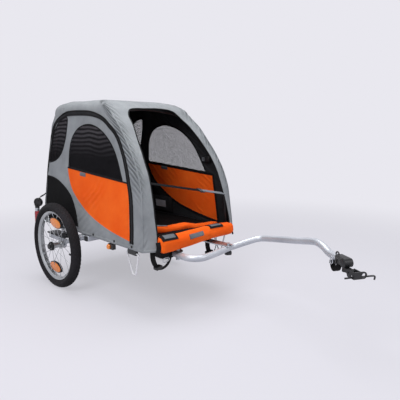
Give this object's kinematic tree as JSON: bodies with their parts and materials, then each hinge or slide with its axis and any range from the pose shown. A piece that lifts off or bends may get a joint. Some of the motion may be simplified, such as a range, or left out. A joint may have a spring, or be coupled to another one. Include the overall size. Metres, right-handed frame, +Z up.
{
  "type": "bicycle trailer",
  "caption": "Two-wheeled bicycle trailer with an open-fronted fabric cabin, sprung wheels and a cranked drawbar with a pin hitch.",
  "frame": {"origin": "middle of the bounding box's bottom, on the ground", "axes": "+X forward to the hitch, +Y to the trailer's left, +Z up"},
  "size_m": [1.6118, 0.7106, 0.867],
  "materials": {
    "orange_cloth": "matt woven",
    "grey_cloth": "matt woven",
    "black_cloth": "matt woven",
    "window_mesh": "open net",
    "clear_sheet": "soft clear film",
    "webbing": "matt webbing",
    "black_steel": "satin black",
    "silver_steel": "zinc plated",
    "rim_aluminium": "satin",
    "silver_tube": "satin silver",
    "black_plastic": "moulded",
    "rubber": "matt",
    "red_lens": "translucent",
    "amber_lens": "translucent"
  },
  "bodies": {
    "chassis": {"side_rail_right": "black_steel", "side_rail_left": "black_steel", "front_cross_rail": "black_steel", "rear_cross_rail": "black_steel", "floor_pan": "black_cloth", "front_arch": "black_steel", "rear_arch": "black_steel", "canopy": "grey_cloth", "rolled_front_cover": "orange_cloth", "cross_strap": "webbing", "suspension_cross_tube": "black_steel", "drawbar_pivot_plate": "black_steel", "drawbar_pivot_bolt": "silver_steel", "drawbar_clamp_plate": "silver_steel", "cross_tube_cap_right": "black_plastic", "coil_spring_right": "silver_steel", "side_reflector_right": "amber_lens", "rear_lamp_right": "red_lens", "side_panel_right": "orange_cloth", "side_window_right": "window_mesh", "rear_window_right": "clear_sheet", "wheel_guard_right": "black_cloth", "cross_tube_cap_left": "black_plastic", "coil_spring_left": "silver_steel", "side_reflector_left": "amber_lens", "rear_lamp_left": "red_lens", "side_panel_left": "orange_cloth", "side_window_left": "window_mesh", "rear_window_left": "clear_sheet", "wheel_guard_left": "black_cloth"},
    "drawbar_arm": {"drawbar": "silver_tube", "clamp_bolt": "silver_steel", "coupler_body": "black_plastic", "safety_strap": "black_cloth", "snap_hook": "silver_steel"},
    "knob": {"clamp_knob": "black_plastic"},
    "swivel": {"swivel_block": "black_plastic"},
    "fork": {"hitch_fork": "black_steel"},
    "pin": {"hitch_pin": "silver_steel"},
    "slider": {"strap_slider": "black_plastic"},
    "arm_right": {"trailing_arm_right": "silver_steel", "spring_seat_right": "black_steel", "stub_axle_right": "silver_steel"},
    "wheel_right": {"tyre_right": "rubber", "rim_right": "rim_aluminium", "hub_with_spokes_right": "rim_aluminium", "spoke_reflector_right_upper": "amber_lens", "spoke_reflector_right_lower": "amber_lens"},
    "button_right": {"release_button_right": "black_plastic"},
    "hoop_right": {"wire_hoop_right": "silver_steel"},
    "arm_left": {"trailing_arm_left": "silver_steel", "spring_seat_left": "black_steel", "stub_axle_left": "silver_steel"},
    "wheel_left": {"tyre_left": "rubber", "rim_left": "rim_aluminium", "hub_with_spokes_left": "rim_aluminium", "spoke_reflector_left_upper": "amber_lens", "spoke_reflector_left_lower": "amber_lens"},
    "button_left": {"release_button_left": "black_plastic"},
    "hoop_left": {"wire_hoop_left": "silver_steel"}
  },
  "joints": [
    {"name": "arm_swing_right", "type": "hinge", "parent": "chassis", "child": "arm_right", "pos_m": [-0.3535, -0.2725, 0.257], "axis": [0, 1, 0], "range_deg": [0, 3.5], "stiffness_Nm_per_rad": 300, "springref_deg": -2.29, "deforming": ["coil_spring_right"]},
    {"name": "wheel_spin_right", "type": "hinge", "parent": "arm_right", "child": "wheel_right", "pos_m": [-0.5085, -0.315, 0.2], "axis": [0, 1, 0], "continuous": true},
    {"name": "button_push_right", "type": "slide", "parent": "wheel_right", "child": "button_right", "axis": [0, 1, 0], "range_m": [0, 0.004], "stiffness_N_per_m": 400, "springref_m": -0.003},
    {"name": "hoop_fold_right", "type": "hinge", "parent": "chassis", "child": "hoop_right", "pos_m": [-0.0395, -0.25, 0.2555], "axis": [1, 0, 0], "range_deg": [0, 90]},
    {"name": "arm_swing_left", "type": "hinge", "parent": "chassis", "child": "arm_left", "pos_m": [-0.3535, 0.2725, 0.257], "axis": [0, 1, 0], "range_deg": [0, 3.5], "stiffness_Nm_per_rad": 300, "springref_deg": -2.29, "deforming": ["coil_spring_left"]},
    {"name": "wheel_spin_left", "type": "hinge", "parent": "arm_left", "child": "wheel_left", "pos_m": [-0.5085, 0.315, 0.2], "axis": [0, 1, 0], "continuous": true},
    {"name": "button_push_left", "type": "slide", "parent": "wheel_left", "child": "button_left", "axis": [0, -1, 0], "range_m": [0, 0.004], "stiffness_N_per_m": 400, "springref_m": -0.003},
    {"name": "hoop_fold_left", "type": "hinge", "parent": "chassis", "child": "hoop_left", "pos_m": [-0.0395, 0.25, 0.2555], "axis": [-1, 0, 0], "range_deg": [0, 90]},
    {"name": "slider_move", "type": "slide", "parent": "chassis", "child": "slider", "axis": [0.063, 0.9787, -0.1956], "range_m": [-0.03, 0.03]},
    {"name": "drawbar_swing", "type": "hinge", "parent": "chassis", "child": "drawbar_arm", "pos_m": [0.1165, -0.1125, 0.2425], "axis": [0, 0, 1], "range_deg": [-75, 0]},
    {"name": "knob_turn", "type": "hinge", "parent": "drawbar_arm", "child": "knob", "pos_m": [0.1955, 0.1, 0.2287], "axis": [0, 0, 1], "range_deg": [0, 360]},
    {"name": "coupler_turn", "type": "hinge", "parent": "drawbar_arm", "child": "swivel", "pos_m": [0.72848, 0.08061, 0.2922], "axis": [0, 0, 1], "range_deg": [-30, 30], "stiffness_Nm_per_rad": 8},
    {"name": "fork_tilt", "type": "hinge", "parent": "swivel", "child": "fork", "pos_m": [0.75822, 0.06412, 0.2832], "axis": [0.4848, 0.8746, 0], "range_deg": [-60, 60]},
    {"name": "pin_slide", "type": "slide", "parent": "fork", "child": "pin", "axis": [0.4848, 0.8746, 0], "range_m": [0, 0.045]}
  ]
}
